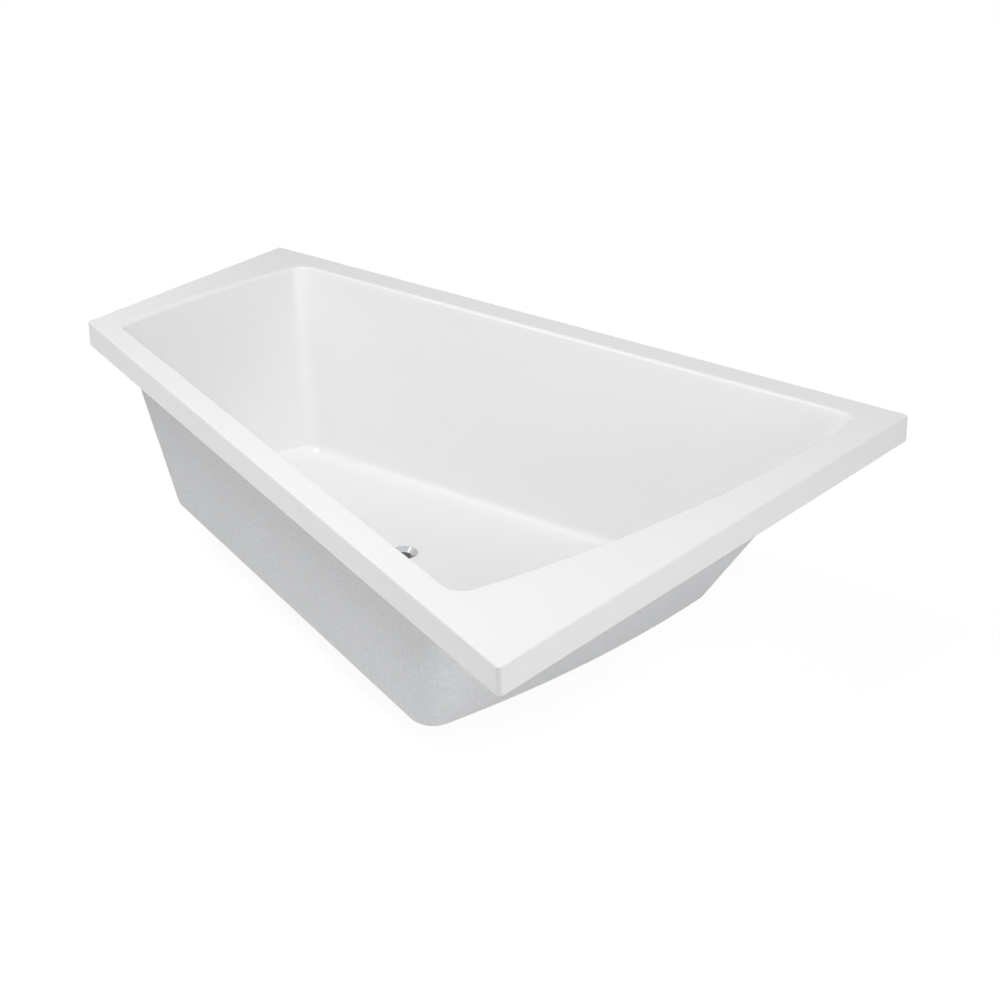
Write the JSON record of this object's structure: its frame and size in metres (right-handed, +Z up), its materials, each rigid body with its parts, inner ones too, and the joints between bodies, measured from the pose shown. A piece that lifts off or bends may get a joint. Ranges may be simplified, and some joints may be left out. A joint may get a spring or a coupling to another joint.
{
  "type": "bathtub",
  "caption": "Built-in corner bathtub with a right-angled trapezoid rim, a straight back wall, a slanted front, a sloped backrest, a push-plug waste and screw feet.",
  "frame": {"origin": "centre of the rim's length and width, at the floor under the foot pads", "axes": "+X along the straight back edge towards the wide end, +Y towards the back edge, +Z up"},
  "size_m": [1.8, 1.3955, 0.6],
  "materials": {
    "white_acrylic": "glossy cast acrylic",
    "grey_coat": "sprayed glass fibre and resin, slightly rough",
    "board_wood": "raw chipboard",
    "batten_wood": "sawn softwood",
    "waste_chrome": "polished chrome plate",
    "seal_rubber": "black moulded seal",
    "pipe_plastic": "moulded white pipe plastic",
    "plug_plastic": "dark moulded plastic",
    "rod_steel": "zinc plated",
    "rail_steel": "galvanised sheet",
    "pad_plastic": "black moulded foot pad"
  },
  "bodies": {
    "tub": {"tub_shell": "white_acrylic", "reinforcement_shell": "grey_coat", "base_board": "board_wood", "batten_back": "batten_wood", "batten_front": "batten_wood", "batten_narrow": "batten_wood", "batten_wide": "batten_wood", "waste_flange": "waste_chrome", "seat_seal": "seal_rubber", "waste_seal": "seal_rubber", "waste_body": "pipe_plastic", "plug_cartridge": "plug_plastic", "trap_body": "pipe_plastic", "trap_seal": "seal_rubber", "trap_cup": "pipe_plastic", "union_gasket": "seal_rubber", "union_nut": "pipe_plastic", "overflow_seal": "seal_rubber", "overflow_body": "pipe_plastic", "overflow_cover": "waste_chrome", "overflow_screw": "waste_chrome", "rail_screws": "rod_steel", "rail_narrow": "rail_steel", "rail_wide": "rail_steel", "weld_nut_1": "rail_steel", "lock_nut_1": "rod_steel", "weld_nut_2": "rail_steel", "lock_nut_2": "rod_steel", "weld_nut_3": "rail_steel", "lock_nut_3": "rod_steel", "weld_nut_4": "rail_steel", "lock_nut_4": "rod_steel"},
    "plug": {"plug_head": "plug_plastic", "plug_seal": "seal_rubber", "plug_stem": "rod_steel"},
    "foot_1": {"foot_rod_1": "rod_steel", "foot_pad_1": "pad_plastic"},
    "foot_2": {"foot_rod_2": "rod_steel", "foot_pad_2": "pad_plastic"},
    "foot_3": {"foot_rod_3": "rod_steel", "foot_pad_3": "pad_plastic"},
    "foot_4": {"foot_rod_4": "rod_steel", "foot_pad_4": "pad_plastic"}
  },
  "joints": [
    {"name": "plug_lift", "type": "slide", "parent": "tub", "child": "plug", "axis": [0, 0, 1], "range_m": [0, 0.009]},
    {"name": "foot_height_1", "type": "slide", "parent": "tub", "child": "foot_1", "axis": [0, 0, -1], "range_m": [0, 0.025]},
    {"name": "foot_height_2", "type": "slide", "parent": "tub", "child": "foot_2", "axis": [0, 0, -1], "range_m": [0, 0.025]},
    {"name": "foot_height_3", "type": "slide", "parent": "tub", "child": "foot_3", "axis": [0, 0, -1], "range_m": [0, 0.025]},
    {"name": "foot_height_4", "type": "slide", "parent": "tub", "child": "foot_4", "axis": [0, 0, -1], "range_m": [0, 0.025]}
  ]
}
